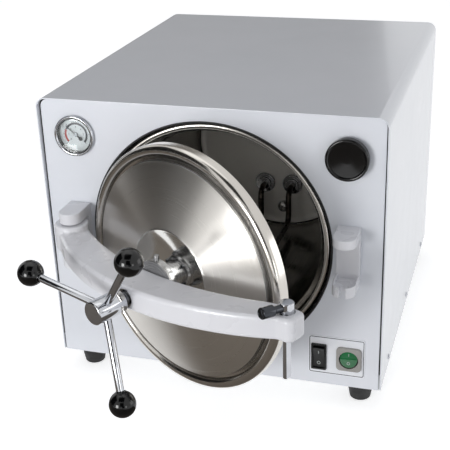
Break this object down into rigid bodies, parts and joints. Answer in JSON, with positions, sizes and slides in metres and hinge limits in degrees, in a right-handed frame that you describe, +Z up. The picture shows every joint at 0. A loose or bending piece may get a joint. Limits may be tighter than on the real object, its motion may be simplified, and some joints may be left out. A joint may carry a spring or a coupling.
{
  "type": "dental autoclave",
  "caption": "Tabletop steam autoclave: white sheet case round a lying steel chamber, with a round lid on a swinging crossbar, a screw clamp with star handle, gauge, vent knob and switches.",
  "frame": {"origin": "on the floor plane, under the middle of the overall box", "axes": "+X to the right seen from the front, +Y to the back, +Z up"},
  "size_m": [0.404, 0.7216, 0.358],
  "materials": {
    "cover_enamel": "glossy white stove enamel",
    "panel_enamel": "glossy white stove enamel",
    "cast_enamel": "white enamel on cast aluminium",
    "sheet_steel": "zinc-plated sheet",
    "stainless": "turned and polished stainless steel",
    "chamber_steel": "drawn stainless steel, bright",
    "chrome": "bright chrome plate",
    "screw_steel": "machined steel, lightly oiled",
    "brass": "machined brass",
    "pipe_copper": "drawn copper tube",
    "heater_steel": "heat-darkened steel tube",
    "black_phenolic": "polished black phenolic",
    "black_plastic": "moulded black plastic",
    "grey_plastic": "moulded grey plastic",
    "green_lens": "translucent green plastic",
    "black_rubber": "moulded black rubber",
    "seal_rubber": "off-white silicone rubber",
    "blanket": "glass-fibre blanket",
    "dial_face": "printed pale grey",
    "needle_black": "black lacquer",
    "window_glass": "clear",
    "plate_print": "printed white film on aluminium"
  },
  "bodies": {
    "base": {"cover": "cover_enamel", "cover_screws": "chrome", "front_panel": "panel_enamel", "rear_panel": "panel_enamel", "base_pan": "sheet_steel", "foot_front_left": "black_rubber", "foot_front_right": "black_rubber", "foot_rear_left": "black_rubber", "foot_rear_right": "black_rubber", "chamber": "chamber_steel", "rim_ring": "stainless", "hole_trim": "black_rubber", "jacket": "blanket", "front_saddle": "sheet_steel", "rear_saddle": "sheet_steel", "heater": "heater_steel", "heater_fittings": "screw_steel", "probe": "screw_steel", "left_bracket": "cast_enamel", "right_bracket": "cast_enamel", "hinge_pin": "chrome", "hinge_spacers": "screw_steel", "gauge_body": "screw_steel", "gauge_bezel": "chrome", "gauge_dial": "dial_face", "gauge_lens": "window_glass", "gauge_pipe": "pipe_copper", "vent_valve": "brass", "vent_pipe": "pipe_copper", "label_plate": "plate_print", "rocker_housing": "black_plastic", "power_housing": "grey_plastic", "mains_inlet": "black_plastic", "drain_pipe": "pipe_copper", "drain_spigot": "brass", "safety_valve": "brass"},
    "crossbar": {"crossbar": "cast_enamel", "hinge_bush": "brass", "lock_bush": "screw_steel", "nut_bush": "screw_steel"},
    "lid": {"lid": "stainless", "lid_liner": "stainless", "lid_gasket": "seal_rubber", "thrust_boss": "screw_steel", "boss_screws": "screw_steel"},
    "star_handle": {"screw": "screw_steel", "star_hub": "chrome", "star_rod_1": "chrome", "star_rod_2": "chrome", "star_rod_3": "chrome", "star_ball_1": "black_phenolic", "star_ball_2": "black_phenolic", "star_ball_3": "black_phenolic"},
    "lock": {"lock_pin": "chrome", "lock_handle": "chrome"},
    "vent_knob": {"vent_knob": "black_phenolic"},
    "rocker_switch": {"rocker_switch": "black_plastic"},
    "power_switch": {"power_switch": "green_lens"},
    "gauge_needle": {"gauge_needle": "needle_black"}
  },
  "joints": [
    {"name": "door_swing", "type": "hinge", "parent": "base", "child": "crossbar", "pos_m": [-0.158, -0.15619, 0.1985], "axis": [0, 0, -1], "range_deg": [-25.4, 84.6]},
    {"name": "lid_feed", "type": "slide", "parent": "crossbar", "child": "lid", "axis": [0.4289, 0.9033, 0], "range_m": [-0.006, 0.0019]},
    {"name": "star_turn", "type": "hinge", "parent": "lid", "child": "star_handle", "pos_m": [-0.04187, -0.27997, 0.1985], "axis": [0.4289, 0.9033, 0], "range_deg": [-540.1, 171.1]},
    {"name": "lock_turn", "type": "hinge", "parent": "crossbar", "child": "lock", "pos_m": [0.12926, -0.29259, 0.1985], "axis": [0, 0, -1], "range_deg": [0, 60]},
    {"name": "vent_turn", "type": "hinge", "parent": "base", "child": "vent_knob", "pos_m": [0.157, -0.13819, 0.311], "axis": [0, 1, 0], "range_deg": [-270, 0]},
    {"name": "rocker_tilt", "type": "hinge", "parent": "base", "child": "rocker_switch", "pos_m": [0.1275, -0.12419, 0.065], "axis": [-1, 0, 0], "range_deg": [0, 14]},
    {"name": "power_tilt", "type": "hinge", "parent": "base", "child": "power_switch", "pos_m": [0.1625, -0.12419, 0.0658], "axis": [1, 0, 0], "range_deg": [0, 14]},
    {"name": "needle_turn", "type": "hinge", "parent": "base", "child": "gauge_needle", "pos_m": [-0.157, -0.12619, 0.314], "axis": [0, 1, 0], "range_deg": [0, 250], "stiffness_Nm_per_rad": 0.0005}
  ],
  "couplings": [
    {"joint": "star_turn", "follows": "lid_feed", "rad_per_m": 1570.8}
  ]
}
